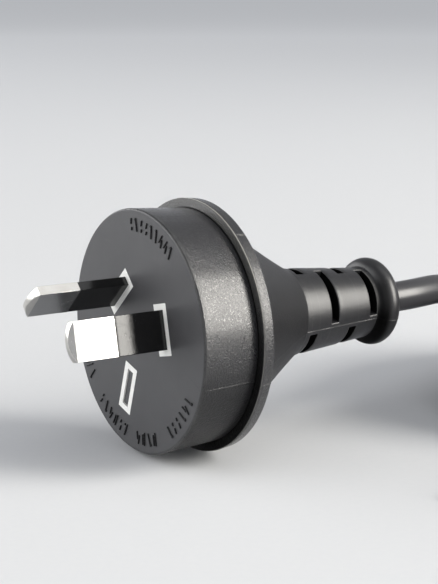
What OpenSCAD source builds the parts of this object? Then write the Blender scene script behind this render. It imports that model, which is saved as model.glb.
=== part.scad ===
// Two-pin 10 A plug of the type I pattern with its moulded-on round flex.
// The plug lies on its flange. World +X runs from the contact face towards the cord, +Z is up,
// and the origin is the centre of the contact face.
// Plug modules are drawn in the plug's own axes: z is the depth behind the contact face,
// +y points away from the earth position, and the pins stand out towards -z.

/* [Moulded body] */
// Diameter of the contact face
face_d = 39.9; // [38:0.1:44]
// Diameter of the side wall where it meets the flange
side_rear_d = 38.6; // [37:0.1:42]
// Diameter of the flange at its front edge
flange_d = 41.8; // [41:0.1:48]
// Depth of the flange's front behind the contact face
flange_z = 10.3; // [9:0.1:14]
// Thickness of the flange
flange_t = 2.2; // [1.6:0.1:3]
// How much the flange's radius falls towards its rear
flange_draft = 0.2; // [0:0.05:0.4]
// Rounding of the contact face's rim
rim_round = 0.45; // [0.1:0.05:1]
// Rounding of the flange's two edges
flange_round = 0.3; // [0.1:0.05:0.5]
// Diameter of the rear cone where it leaves the flange
cone_root_d = 36.6; // [30:0.1:38]
// Depth where the cone meets the strain relief
cone_end_z = 28.7; // [26:0.1:32]
// Radius of the hollow sweep of the cone
cone_sweep_r = 150; // [40:5:400]

/* [Strain relief] */
// Diameter of the strain relief where the cone meets it
relief_root_d = 15.1; // [14:0.1:17]
// Diameter of the strain relief beside its end bead
relief_tip_d = 12.2; // [11:0.1:13.5]
// Depth of the middle of the end bead
bead_z = 47.2; // [46.9:0.1:48.5]
// Outside diameter of the end bead
bead_d = 15.3; // [14:0.1:17]
// Radius of the end bead's round section
bead_round = 2; // [1.8:0.1:2.5]
// Radius of the hollow between the strain relief and the bead
bead_fillet = 0.5; // [0.3:0.1:1]
// Number of slotted rows along the strain relief
slot_rows = 4; // [2:1:4]
// Depth of the middle of the first slotted row
slot_first_z = 30.5; // [30:0.1:31]
// Distance from one slotted row to the next
slot_pitch = 4.4; // [3.2:0.05:4.4]
// Width of a slot along the cord
slot_w = 1.6; // [0.8:0.1:2]
// Diameter of the round core that the slots stop at
slot_core_d = 8; // [7:0.1:9.5]
// Height of the rib that the slots leave along the parting plane
seam_rib = 1.5; // [0.8:0.1:2.5]
// How far a slot runs past the middle of the plug
slot_overrun = 0.55; // [0:0.05:1]

/* [Pins] */
// Width of a blade
pin_w = 6.35; // [6:0.05:6.6]
// Thickness of a blade
pin_t = 1.63; // [1.4:0.01:1.8]
// Length of a blade beyond the contact face
pin_len = 17.06; // [15:0.01:19]
// Distance of a live blade's middle from the plug's centre
pin_circle_r = 7.92; // [7.6:0.01:8.3]
// Angle of a live blade above the line across the plug
pin_angle = 30; // [25:1:35]
// Radius of a blade's rounded tip
pin_tip_r = 5.1; // [3.5:0.1:8]
// Length of the bevel on a blade's broad sides at the tip
pin_bevel_len = 1.1; // [0.4:0.1:2]
// How much the bevel takes off each broad side
pin_bevel = 0.35; // [0.1:0.05:0.6]
// Length of the insulating sleeve beyond the contact face
sleeve_len = 8.8; // [6:0.1:11]
// Wall of the sleeve on a blade's broad sides
sleeve_wall_t = 0.35; // [0.2:0.05:0.45]
// Wall of the sleeve on a blade's narrow sides
sleeve_wall_w = 0.45; // [0.3:0.05:0.8]
// How far the sleeve reaches behind the contact face
sleeve_root = 2.6; // [1.5:0.1:3.4]

/* [Pin carrier] */
// Distance of the earth position's middle from the plug's centre
earth_r = 10.31; // [10:0.01:10.8]
// How far the compound that fills the earth collar lies below the contact face
earth_recess = 0.2; // [0.05:0.05:1]
// Wall of a collar beyond the ends of its slot
collar_wall_w = 0.97; // [0.6:0.01:1.2]
// Wall of a collar beyond the sides of its slot
collar_wall_t = 1; // [0.6:0.05:1.2]
// Depth of the carrier plate's front behind the contact face
carrier_z = 3.2; // [2.7:0.1:3.8]
// Thickness of the carrier plate
carrier_t = 3.6; // [3:0.1:4]
// Diameter of the carrier plate
carrier_d = 33; // [31.5:0.5:35]
// Thickness of the wall between the two live crimps
divider_t = 1.6; // [1:0.1:2]
// Height of that wall behind the plate
divider_h = 6; // [4:0.5:7]
// Length of that wall across the plate
divider_w = 13; // [10:0.5:16]

/* [Wires] */
// Diameter of the sheathed cord
cord_d = 5.3; // [5:0.1:5.8]
// Diameter of an insulated core
core_d = 2.1; // [1.9:0.05:2.3]
// Diameter of a core's stranded conductor
conductor_d = 1.2; // [1:0.05:1.3]
// Play between neighbouring cores and sheath
wire_play = 0.02; // [0.01:0.01:0.05]
// Outside diameter of a crimp barrel
crimp_d = 3.4; // [2.6:0.1:4]
// Length of a crimp barrel
crimp_len = 5; // [4:0.1:6]
// Length of the taper from a blade to its crimp barrel
pin_neck_len = 2; // [1.5:0.1:3]
// Bare conductor between a crimp barrel and the core's insulation
bare_gap = 0.8; // [0.4:0.1:1.5]
// Radius of the bends in a core inside the body
core_bend_r = 4; // [3:0.1:4.5]
// Angle of the bends in a core inside the body
core_bend_a = 60; // [50:1:65]

/* [Free cord] */
// Radius of the outermost turn, at the middle of the cord
coil_turn_r = 35.3; // [34:0.1:36]
// Turns of cord side by side in the coil
coil_turns_across = 3.4; // [2.4:0.1:3.6]
// Layers of cord in the coil
coil_layers = 4; // [3:1:5]
// Height from one layer of cord in the coil to the next
coil_layer_pitch = 5.6; // [5.3:0.1:6]
// Width of the tie round the coil
tie_w = 9; // [6:0.5:14]
// Thickness of the tie
tie_t = 0.9; // [0.5:0.1:1.5]
// Length of sheath between the coil and the stripped end
tail_len = 27; // [15:1:35]
// Length of the stripped cores
strip_len = 40; // [30:1:50]
// Length of the tinned end of a conductor
tinned_len = 8; // [5:0.5:12]
// How far the stripped cores spread apart at their ends
strip_spread = 9; // [6:0.5:12]

/* [Pose] */
// How far the plug is rolled about its axis as it lies
plug_roll = 17.4; // [0:0.1:30]

/* [Hidden] */

// Facets of the round surfaces, and steps of a rounding in an outline
ROUND = 96;
SMALL_ROUND = 48;
STEPS = 8;
// Reach of a cut past the surface that it opens
PAST = 1;

// Lap of a straight stretch of core into a bend, and how much fatter the bend is drawn to take it
BEND_LAP = 0.2;
BEND_SWELL = 0.02;

// Which side of the plug a live blade stands on
ACTIVE = -1;
NEUTRAL = 1;

face_r = face_d / 2;
side_rear_r = side_rear_d / 2;
flange_r = flange_d / 2;
flange_rear_z = flange_z + flange_t;
floor_z = -flange_r;
relief_root_r = relief_root_d / 2;
relief_tip_r = relief_tip_d / 2;
bead_ring_r = bead_d / 2 - bead_round;
body_end_z = bead_z + bead_round;
exit_x = body_end_z;

carrier_rear_z = carrier_z + carrier_t;
pin_rear_z = carrier_rear_z + 0.4;
crimp_z = pin_rear_z + pin_neck_len;
crimp_end_z = crimp_z + crimp_len;
core_start_z = crimp_end_z + bare_gap;
pin_x = pin_circle_r * cos(pin_angle);
pin_y = pin_circle_r * sin(pin_angle);
core_x = core_d / 2 + wire_play;
core_shift = norm([pin_x - core_x, pin_y]);
core_heading = atan2(pin_y, pin_x - core_x);
core_slant = (core_shift - 2 * core_bend_r * (1 - cos(core_bend_a))) / sin(core_bend_a);
core_bends_len = 2 * core_bend_r * sin(core_bend_a) + core_slant * cos(core_bend_a);
sheath_start_z = core_start_z + core_bends_len + PAST;

coil_centre = [96.5, -20.5];
coil_entry_a = 130;
coil_exit_a = -94;
coil_h = cord_d + (coil_layers - 1) * coil_layer_pitch;
coil_out_r = coil_turn_r + cord_d / 2;
coil_in_r = coil_out_r - coil_turns_across * cord_d;
lane_in_r = coil_turn_r - cord_d / 2;
top_lane_z = floor_z + coil_h - cord_d / 2;
low_lane_z = floor_z + cord_d / 2;
entry_pocket_a = 27;
exit_pocket_a = 36;
tie_a = 20;
tie_span_a = tie_w / coil_turn_r * 180 / PI;

function on_ring(r, a, z) = [coil_centre[0] + r * cos(a), coil_centre[1] + r * sin(a), z];
function clockwise(a) = [sin(a), -cos(a), 0];
entry = on_ring(coil_turn_r, coil_entry_a, top_lane_z);
tail_start = on_ring(coil_turn_r, coil_exit_a, low_lane_z);
tail_dir = clockwise(coil_exit_a);
tail_end = tail_start + tail_len * tail_dir;

// The free cord's route from the bead to the coil
run_route = [
    [exit_x, 0, 0], [exit_x + 2, 0, 0], [56, 0.1, 0.1], [60, 0.6, 0.15], [64, 1.5, 0.1],
    [68, 3.1, 0.4 * top_lane_z], [71, 4.8, 0.76 * top_lane_z],
    entry - 1.2 * clockwise(coil_entry_a), entry
];

// The stripped cores' route from the sheath's end, along and beside the cord, and above the floor
core_rest = core_d / 2;
strip_route = [
    [0, core_x, cord_d / 2], [3, core_x, cord_d / 2], [7, core_x + 0.6, core_rest + 0.9],
    [11, core_x + 1.3, core_rest + 0.2], [15, core_x + 1.9, core_rest],
    [20, core_x + 2.4, core_rest], [26, core_x + 2.9, core_rest]
];

function arc(centre, r, a0, a1, steps = STEPS) = [
    for (i = [0 : steps])
        let (a = a0 + (a1 - a0) * i / steps)
        centre + r * [cos(a), sin(a)]
];

// Stands the plug's own axes as the plug lies
module as_laid() {
    rotate([plug_roll, 0, 0]) rotate([90, 0, 90]) children();
}

// Places a blade's axes: x along its width, y away from the plug's centre
module at_pin(side) {
    translate([side * pin_x, pin_y, 0])
        rotate([0, 0, side > 0 ? pin_angle - 90 : 90 - pin_angle])
            children();
}

module at_earth() {
    translate([0, -earth_r, 0]) rotate([0, 0, 90]) children();
}

module block(width, thick, z0, z1) {
    translate([-width / 2, -thick / 2, z0]) cube([width, thick, z1 - z0]);
}

// Centre of the cone's hollow sweep, which passes through the cone's root and end
cone_root = [cone_root_d / 2, flange_rear_z];
cone_end = [relief_root_r, cone_end_z];
cone_mid = (cone_root + cone_end) / 2;
cone_half = norm(cone_end - cone_root) / 2;
cone_out = [cone_end[1] - cone_root[1], cone_root[0] - cone_end[0]] / (2 * cone_half);
sweep_centre = cone_mid + sqrt(pow(cone_sweep_r, 2) - pow(cone_half, 2)) * cone_out;
sweep_a0 = atan2(cone_root[1] - sweep_centre[1], cone_root[0] - sweep_centre[0]);
sweep_a1 = atan2(cone_end[1] - sweep_centre[1], cone_end[0] - sweep_centre[0]);

// Centre of the hollow that blends the strain relief into the bead's round section
fillet_r = relief_tip_r + bead_fillet;
fillet_gap = bead_round + bead_fillet;
fillet_z = bead_z - sqrt(pow(fillet_gap, 2) - pow(fillet_r - bead_ring_r, 2));
fillet_a = atan2(bead_z - fillet_z, bead_ring_r - fillet_r);

// Half section of the body as [radius, depth], from the contact face to the cord's exit
function body_outline() = concat(
    [[0, 0]],
    arc([face_r - rim_round, rim_round], rim_round, -90, 0),
    [[side_rear_r, flange_z]],
    arc([flange_r - flange_round, flange_z + flange_round], flange_round, -90, 0, 4),
    arc([flange_r - flange_draft - flange_round, flange_rear_z - flange_round], flange_round, 0, 90, 4),
    arc(sweep_centre, cone_sweep_r, sweep_a0, sweep_a1, 2 * STEPS),
    arc([fillet_r, fillet_z], bead_fillet, 180, fillet_a, 4),
    arc([bead_ring_r, bead_z], bead_round, fillet_a - 180, 90, 2 * STEPS),
    [[0, body_end_z]]
);

module body_blank() {
    rotate_extrude($fn = ROUND) polygon(body_outline());
}

// One quarter slot: it stops at the parting plane's rib and just past the plug's middle
module quarter_slot(side, height) {
    reach = relief_root_r + PAST;
    difference() {
        translate([side > 0 ? -slot_overrun : -reach, height > 0 ? seam_rib / 2 : -reach, 0])
            cube([reach + slot_overrun, reach - seam_rib / 2, slot_w]);
        translate([0, 0, -PAST]) cylinder(d = slot_core_d, h = slot_w + 2 * PAST, $fn = SMALL_ROUND);
    }
}

// Rows of two quarter slots each, turned by a quarter from row to row
module relief_slots() {
    for (row = [0 : slot_rows - 1]) {
        turn = row % 2 == 0 ? 1 : -1;
        translate([0, 0, slot_first_z + row * slot_pitch - slot_w / 2]) {
            quarter_slot(1, turn);
            quarter_slot(-1, -turn);
        }
    }
}

// A core from a given depth to the cord's exit: straight, two bends towards the axis, straight
module core_path(side, d, z0) {
    r = core_bend_r;
    bend_z = core_start_z + PAST;
    translate([side * pin_x, pin_y, z0]) wire(d, bend_z + BEND_LAP - z0);
    translate([side * pin_x, pin_y, bend_z])
        rotate([0, 0, side > 0 ? 180 + core_heading : -core_heading]) {
            translate([r, 0, 0]) rotate([90, 0, 180]) bend(d);
            translate([r * (1 - cos(core_bend_a)), 0, r * sin(core_bend_a)])
                rotate([0, core_bend_a, 0])
                    translate([0, 0, -BEND_LAP]) wire(d, core_slant + 2 * BEND_LAP);
            translate([core_shift - r, 0, core_bends_len]) rotate([-90, 0, 0]) bend(d);
        }
    translate([side * core_x, 0, sheath_start_z - BEND_LAP])
        wire(d, body_end_z + BEND_LAP - sheath_start_z);
}

module wire(d, length) {
    cylinder(d = d, h = length, $fn = SMALL_ROUND);
}

module bend(d) {
    rotate_extrude(angle = core_bend_a, $fn = SMALL_ROUND)
        translate([core_bend_r, 0]) circle(d = d + 2 * BEND_SWELL, $fn = SMALL_ROUND);
}

// Everything that the compound is moulded round, cut past the contact face
module moulded_in() {
    carrier_shape(-PAST);
    for (side = [ACTIVE, NEUTRAL]) {
        at_pin(side) pin_tail(-PAST);
        core_path(side, core_d, core_start_z);
        translate([side * pin_x, pin_y, crimp_z]) wire(conductor_d, core_start_z - crimp_z);
    }
    translate([0, 0, sheath_start_z])
        cylinder(d = cord_d, h = body_end_z + PAST - sheath_start_z, $fn = ROUND);
}

module moulded_body() {
    color("#2b2c2d")
        as_laid()
            difference() {
                body_blank();
                relief_slots();
                moulded_in();
                at_earth() block(pin_w, pin_t, -PAST, earth_recess);
            }
}

// A collar of the carrier, closed; its slot is cut separately
module collar_blank(front) {
    block(pin_w + 2 * collar_wall_w, pin_t + 2 * collar_wall_t, front, carrier_z + PAST);
}

// White insert that holds the blades: a plate with three collars and a wall between the live crimps
module carrier_shape(front) {
    difference() {
        union() {
            translate([0, 0, carrier_z]) cylinder(d = carrier_d, h = carrier_t, $fn = ROUND);
            block(divider_t, divider_w, carrier_rear_z - PAST, carrier_rear_z + divider_h);
            for (side = [ACTIVE, NEUTRAL]) at_pin(side) collar_blank(front);
            at_earth() collar_blank(front);
        }
        for (side = [ACTIVE, NEUTRAL]) at_pin(side) block(pin_w, pin_t, -2 * PAST, carrier_rear_z + PAST);
        at_earth() block(pin_w, pin_t, -2 * PAST, carrier_rear_z + PAST);
    }
}

module pin_carrier() {
    color("#e9e8df") as_laid() carrier_shape(0);
}

// Blade seen on its broad side, from its neck to its rounded tip
module blade_outline() {
    tip_sag = pin_tip_r - sqrt(pin_tip_r * pin_tip_r - pin_w * pin_w / 4);
    tip_a = asin(pin_w / 2 / pin_tip_r);
    tip_z = -pin_len;
    polygon(concat(
        [[crimp_d / 2, crimp_z], [pin_w / 2, pin_rear_z], [pin_w / 2, tip_z + tip_sag]],
        arc([0, tip_z + pin_tip_r], pin_tip_r, tip_a - 90, -90 - tip_a),
        [[-pin_w / 2, pin_rear_z], [-crimp_d / 2, crimp_z]]
    ));
}

// Blade seen on its narrow side, with the bevels at the tip
module blade_edge() {
    half = pin_t / 2;
    tip_z = -pin_len;
    polygon([
        [half, crimp_z + PAST], [half, tip_z + pin_bevel_len], [half - pin_bevel, tip_z - PAST / 10],
        [pin_bevel - half, tip_z - PAST / 10], [-half, tip_z + pin_bevel_len], [-half, crimp_z + PAST]
    ]);
}

// Blade and crimp barrel, from a given depth backwards
module pin_tail(z0) {
    difference() {
        union() {
            intersection() {
                rotate([90, 0, 0])
                    translate([0, 0, -pin_t / 2])
                        linear_extrude(height = pin_t) blade_outline();
                rotate([90, 0, 90])
                    translate([0, 0, -pin_w])
                        linear_extrude(height = 2 * pin_w) blade_edge();
                block(2 * pin_w, 2 * pin_t, z0, crimp_end_z);
            }
            translate([0, 0, crimp_z]) cylinder(d = crimp_d, h = crimp_len, $fn = SMALL_ROUND);
        }
        translate([0, 0, crimp_z + PAST / 2]) cylinder(d = conductor_d, h = crimp_len, $fn = SMALL_ROUND);
    }
}

// The sleeve's shape, flush with the blade's own surface; the blade is waisted by its walls
module sleeve_shape() {
    difference() {
        block(pin_w, pin_t, -sleeve_len, sleeve_root);
        block(
            pin_w - 2 * sleeve_wall_w, pin_t - 2 * sleeve_wall_t,
            -sleeve_len - PAST, sleeve_root + PAST
        );
    }
}

module pin(side) {
    color("#c9c5b8")
        as_laid()
            at_pin(side)
                difference() {
                    pin_tail(-pin_len - PAST);
                    sleeve_shape();
                }
}

module pin_sleeve(side) {
    color("#18191a") as_laid() at_pin(side) sleeve_shape();
}

module active_pin() {
    pin(ACTIVE);
}

module neutral_pin() {
    pin(NEUTRAL);
}

module active_pin_sleeve() {
    pin_sleeve(ACTIVE);
}

module neutral_pin_sleeve() {
    pin_sleeve(NEUTRAL);
}

module conductor(side) {
    color("#b87333") as_laid() core_path(side, conductor_d, crimp_z + PAST / 2);
}

module core(side) {
    as_laid()
        difference() {
            core_path(side, core_d, core_start_z);
            core_path(side, conductor_d, core_start_z - PAST);
        }
}

module active_conductor() {
    conductor(ACTIVE);
}

module neutral_conductor() {
    conductor(NEUTRAL);
}

module active_core() {
    color("#6b3a1e") core(ACTIVE);
}

module neutral_core() {
    color("#3f7fc1") core(NEUTRAL);
}

module cord_sheath() {
    color("#1d1e1f")
        as_laid()
            difference() {
                translate([0, 0, sheath_start_z])
                    cylinder(d = cord_d, h = body_end_z - sheath_start_z, $fn = ROUND);
                for (side = [ACTIVE, NEUTRAL])
                    translate([side * core_x, 0, sheath_start_z - PAST])
                        cylinder(d = core_d, h = body_end_z - sheath_start_z + 2 * PAST, $fn = SMALL_ROUND);
            }
}

function unit(v) = v / norm(v);

// Direction of a route at one of its points
function heading(route, i) =
    i == 0 ? unit(route[1] - route[0])
    : i == len(route) - 1 ? unit(route[i] - route[i - 1])
    : unit(route[i + 1] - route[i - 1]);

// A ring of points square to the heading at a route's point
function ring(route, i, r, sides) =
    let (
        ahead = heading(route, i),
        across = unit(cross([0, 0, 1], ahead)),
        up = cross(ahead, across)
    )
    [
        for (k = [0 : sides - 1])
            let (a = 360 * (k + 0.5) / sides)
            route[i] + r * (cos(a) * across + sin(a) * up)
    ];

// A tube of flat sides swept along a route
module tube(route, d, sides) {
    last = len(route) - 1;
    points = [for (i = [0 : last]) each ring(route, i, d / 2, sides)];
    walls = [
        for (i = [0 : last - 1], k = [0 : sides - 1])
            let (next = (k + 1) % sides)
            [i * sides + k, (i + 1) * sides + k, (i + 1) * sides + next, i * sides + next]
    ];
    front = [[for (k = [0 : sides - 1]) k]];
    back = [[for (k = [sides - 1 : -1 : 0]) last * sides + k]];
    polyhedron(points = points, faces = concat(walls, front, back));
}

module cord_run() {
    color("#1d1e1f") tube(run_route, cord_d, 10);
}

module cord_tail() {
    color("#1d1e1f") tube([tail_start, (tail_start + tail_end) / 2, tail_end], cord_d, 10);
}

// Cross section of a bundle of turns, [distance from the coil's centre, height]
module bundle_section(r0, r1, z0, z1, round) {
    polygon(concat(
        arc([r1 - round, z1 - round], round, 0, 90),
        arc([r0 + round, z1 - round], round, 90, 180),
        arc([r0 + round, z0 + round], round, 180, 270),
        arc([r1 - round, z0 + round], round, 270, 360)
    ));
}

module at_coil() {
    translate([coil_centre[0], coil_centre[1], floor_z]) children();
}

// The part of a ring that lies between two angles
module ring_part(a0, a1) {
    rotate([0, 0, a0]) rotate_extrude(angle = a1 - a0, $fn = ROUND) children();
}

// The coil leaves room where the cord runs in at the top and where its tail leaves at the bottom
module cord_coil() {
    lane = [coil_out_r - lane_in_r + PAST, cord_d + PAST];
    color("#1d1e1f")
        difference() {
            at_coil()
                difference() {
                    rotate_extrude($fn = ROUND)
                        bundle_section(coil_in_r, coil_out_r, 0, coil_h, cord_d / 2);
                    ring_part(coil_entry_a, coil_entry_a + entry_pocket_a)
                        translate([lane_in_r, coil_h - cord_d]) square(lane);
                    ring_part(coil_exit_a - exit_pocket_a, coil_exit_a)
                        translate([lane_in_r, -PAST]) square(lane);
                }
            tie_band();
        }
}

module tie_band() {
    at_coil()
        ring_part(tie_a - tie_span_a / 2, tie_a + tie_span_a / 2)
            difference() {
                bundle_section(
                    coil_in_r - tie_t, coil_out_r + tie_t, 0, coil_h + tie_t, cord_d / 2 + tie_t
                );
                bundle_section(coil_in_r, coil_out_r, tie_t, coil_h, cord_d / 2);
            }
}

module cord_tie() {
    color("#3a3a3c") tie_band();
}

// Puts a route that is drawn along, beside and above the stripped end in its place
function beside_tail(route, side) = [
    for (p = route)
        [tail_end[0], tail_end[1], floor_z]
        + p[0] * tail_dir + side * p[1] * cross([0, 0, 1], tail_dir) + [0, 0, p[2]]
];

// Stripped core: its insulation ends where the tinned conductor starts
function strip_points(side) =
    let (
        last = strip_route[len(strip_route) - 1],
        rest = strip_len - tinned_len - last[0],
        spread = strip_spread / 2 - last[1]
    )
    beside_tail(concat(strip_route, [last + [rest, spread, 0]]), side);

module tail_core(side) {
    tube(strip_points(side), core_d, 8);
}

module tinned_end(side) {
    points = strip_points(side);
    last = len(points) - 1;
    ahead = points[last] - points[last - 1];
    color("#c8cacb")
        translate(points[last])
            rotate([0, 0, atan2(ahead[1], ahead[0])])
                rotate([0, 90, 0])
                    cylinder(d = conductor_d, h = tinned_len, $fn = SMALL_ROUND);
}

module active_tail_core() {
    color("#6b3a1e") tail_core(ACTIVE);
}

module neutral_tail_core() {
    color("#3f7fc1") tail_core(NEUTRAL);
}

module active_tinned_end() {
    tinned_end(ACTIVE);
}

module neutral_tinned_end() {
    tinned_end(NEUTRAL);
}

moulded_body();
pin_carrier();
active_pin();
neutral_pin();
active_pin_sleeve();
neutral_pin_sleeve();
active_conductor();
neutral_conductor();
active_core();
neutral_core();
cord_sheath();
cord_run();
cord_coil();
cord_tie();
cord_tail();
active_tail_core();
neutral_tail_core();
active_tinned_end();
neutral_tinned_end();
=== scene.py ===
import math
import random
from collections import namedtuple

import bmesh
import bpy
from mathutils import Matrix, Vector, noise


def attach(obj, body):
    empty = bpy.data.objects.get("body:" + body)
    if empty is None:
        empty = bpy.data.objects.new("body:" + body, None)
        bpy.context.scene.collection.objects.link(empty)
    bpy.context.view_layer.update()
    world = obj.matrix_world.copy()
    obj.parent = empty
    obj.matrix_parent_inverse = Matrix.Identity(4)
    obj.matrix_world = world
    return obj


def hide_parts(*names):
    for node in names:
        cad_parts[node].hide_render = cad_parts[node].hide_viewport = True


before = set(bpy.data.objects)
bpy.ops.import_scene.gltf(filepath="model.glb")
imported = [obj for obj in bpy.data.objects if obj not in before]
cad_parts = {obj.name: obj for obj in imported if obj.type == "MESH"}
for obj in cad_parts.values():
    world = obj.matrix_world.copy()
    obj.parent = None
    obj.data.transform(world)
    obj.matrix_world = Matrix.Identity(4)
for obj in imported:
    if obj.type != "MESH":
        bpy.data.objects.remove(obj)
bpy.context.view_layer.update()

# Sizes are in millimetres, in the plug's own axes: z is the depth behind the contact face,
# y points away from the earth position, and the blades stand out towards -z.
MM = 0.001
ROLL = math.radians(17.4)
ACTIVE, NEUTRAL = -1, 1

FACE_R = 19.95
SIDE_REAR_R = 19.3
FLANGE_R = 20.9
FLANGE_Z = 10.3
FLANGE_T = 2.2
FLOOR_Z = -FLANGE_R
CONE_ROOT_R = 18.3
CONE_END_Z = 28.7
CONE_SWEEP_R = 150
RELIEF_ROOT_R = 7.55
RELIEF_TIP_R = 6.1
BEAD_Z = 47.2
BEAD_R = 7.65
BEAD_ROUND = 2
BEAD_FILLET = 0.5
BODY_END_Z = BEAD_Z + BEAD_ROUND
SLOT_ROWS_Z = [30.5, 34.9, 39.3, 43.7]
SLOT_W = 1.6
SLOT_CORE_R = 4
SEAM_RIB = 1.5
SLOT_OVERRUN = 0.55

PIN_W = 6.35
PIN_T = 1.63
PIN_LEN = 17.06
PIN_CIRCLE_R = 7.92
PIN_ANGLE = 30
SLEEVE_LEN = 8.8
SLEEVE_ROOT = 2.6
SLEEVE_WALL_T = 0.35
SLEEVE_WALL_W = 0.45
EARTH_R = 10.31
EARTH_RECESS = 0.2
COLLAR_WALL_W = 0.97
COLLAR_WALL_T = 1
CARRIER_Z = 3.2

CORD_R = 2.65
CORE_R = 1.05
CONDUCTOR_R = 0.6
COIL_CENTRE = Vector((96.5, -20.5))
COIL_OUT_LANE = 35.3
COIL_IN_LANE = 22.58
COIL_LAYERS = 4
COIL_TURNS = 9
LAYER_PITCH = 5.6
COIL_ENTRY_A = 130
COIL_EXIT_A = -94
TOP_LANE_Z = FLOOR_Z + (COIL_LAYERS - 1) * LAYER_PITCH + CORD_R
TAIL_LEN = 27
TIE_A = 20
TIE_W = 9
TIE_T = 0.9


def laid(x, y, z):
    """A point of the plug's own axes, in millimetres, in the frame, in metres."""
    return Vector((
        z * MM,
        (x * math.cos(ROLL) - y * math.sin(ROLL)) * MM,
        (x * math.sin(ROLL) + y * math.cos(ROLL)) * MM,
    ))


# ---- Camera -------------------------------------------------------------------------------

CAMERA_LENS = 142.63
CAMERA_PLACE = (-140.499, -234.091, 58.597)
CAMERA_RIGHT = (0.83158, -0.55541, 0)
CAMERA_UP = (0.10406, 0.15581, 0.98229)
CAMERA_BACK = (-0.54557, -0.81685, 0.18736)


def add_camera():
    camera = bpy.data.cameras.new("camera")
    camera.sensor_fit = "HORIZONTAL"
    camera.sensor_width = 36
    camera.lens = CAMERA_LENS
    camera.clip_start = 0.01
    camera.clip_end = 30
    holder = bpy.data.objects.new("camera", camera)
    turn = Matrix((CAMERA_RIGHT, CAMERA_UP, CAMERA_BACK)).transposed().to_4x4()
    holder.matrix_world = Matrix.Translation(Vector(CAMERA_PLACE) * MM) @ turn
    bpy.context.collection.objects.link(holder)
    bpy.context.scene.camera = holder


# ---- Meshes -------------------------------------------------------------------------------

def add_mesh(name, bm, bevel=0):
    """Turns a bmesh into an object that rides on the part's body."""
    bmesh.ops.recalc_face_normals(bm, faces=bm.faces)
    mesh = bpy.data.meshes.new(name)
    bm.to_mesh(mesh)
    bm.free()
    for polygon in mesh.polygons:
        polygon.use_smooth = True
    piece = bpy.data.objects.new(name, mesh)
    bpy.context.collection.objects.link(piece)
    if bevel:
        rounding = piece.modifiers.new("edge_rounding", "BEVEL")
        rounding.width = bevel
        rounding.segments = 3
        rounding.limit_method = "ANGLE"
        rounding.angle_limit = math.radians(24)
        rounding.use_clamp_overlap = True
    normals = piece.modifiers.new("normals", "WEIGHTED_NORMAL")
    normals.keep_sharp = True
    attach(piece, "root")
    return piece


def bridge(bm, rings, capped=True):
    """Joins rings of vertices by faces, and closes the first and last one."""
    count = len(rings[0])
    faces = []
    for near, far in zip(rings, rings[1:]):
        for k in range(count):
            n = (k + 1) % count
            faces.append(bm.faces.new((near[k], near[n], far[n], far[k])))
    if capped:
        bm.faces.new(rings[0][::-1])
        bm.faces.new(rings[-1])
    return faces


def ring_edges(bm, ring):
    return [bm.edges.get((ring[k], ring[(k + 1) % len(ring)])) for k in range(len(ring))]


def polar(radius, angle):
    """Across and up, for an angle in radians."""
    return radius * math.cos(angle), radius * math.sin(angle)


def ease(value, start, end):
    """0 at the start, 1 at the end, smooth between."""
    share = min(max((value - start) / (end - start), 0), 1)
    return share * share * (3 - 2 * share)


def smooth_route(points, step):
    """Points along a smooth curve through the given ones, about step apart."""
    points = [Vector(p) for p in points]
    ends = [2 * points[0] - points[1]] + points + [2 * points[-1] - points[-2]]
    route = [points[0]]
    for i in range(1, len(points)):
        a, b, c, d = ends[i - 1], ends[i], ends[i + 1], ends[i + 2]
        count = max(2, round((c - b).length / step))
        for k in range(1, count + 1):
            t = k / count
            route.append(0.5 * (
                2 * b + (c - a) * t + (2 * a - 5 * b + 4 * c - d) * t * t
                + (3 * b - a - 3 * c + d) * t ** 3
            ))
    return route


def tube(name, route, radius, sides):
    """A round tube along a route, with how far along and around each point lies."""
    bm = bmesh.new()
    along = bm.verts.layers.float.new("along")
    around = bm.verts.layers.float.new("around")
    side = None
    length = 0
    rings = []
    for i, point in enumerate(route):
        ahead = route[min(i + 1, len(route) - 1)] - route[max(i - 1, 0)]
        ahead.normalize()
        if side is None:
            side = Vector((0, 0, 1)).cross(ahead).normalized()
        side = (side - side.dot(ahead) * ahead).normalized()
        up = ahead.cross(side)
        if i:
            length += (point - route[i - 1]).length
        ring = []
        for k in range(sides):
            beside, above = polar(radius, 2 * math.pi * k / sides)
            vert = bm.verts.new((point + beside * side + above * up) * MM)
            vert[along] = length
            vert[around] = k / sides
            ring.append(vert)
        rings.append(ring)
    bridge(bm, rings)
    return add_mesh(name, bm), length


# ---- Cord ---------------------------------------------------------------------------------

# How much the tie draws each layer down, how far round it that lasts, and where it lets go, in degrees
TIE_SQUEEZE = 0.28
TIE_GRIP_A = 16
TIE_FREE_A = 50
# Degrees of a turn over which the cord steps down to the next layer
STEP_A = 100
ROUTE_STEP_A = 4


def on_ring(radius, angle, z):
    across, up = polar(radius, math.radians(angle))
    return Vector((COIL_CENTRE.x + across, COIL_CENTRE.y + up, z))


def clockwise(angle):
    a = math.radians(angle)
    return Vector((math.sin(a), -math.cos(a), 0))


def layer_z(layer, angle):
    """Height of a layer's cord, with the layers drawn together near the tie."""
    from_tie = abs((angle - TIE_A + 180) % 360 - 180)
    squeeze = TIE_SQUEEZE * (1 - ease(from_tie, TIE_GRIP_A, TIE_FREE_A))
    return TOP_LANE_Z - layer * (LAYER_PITCH - squeeze)


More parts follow.
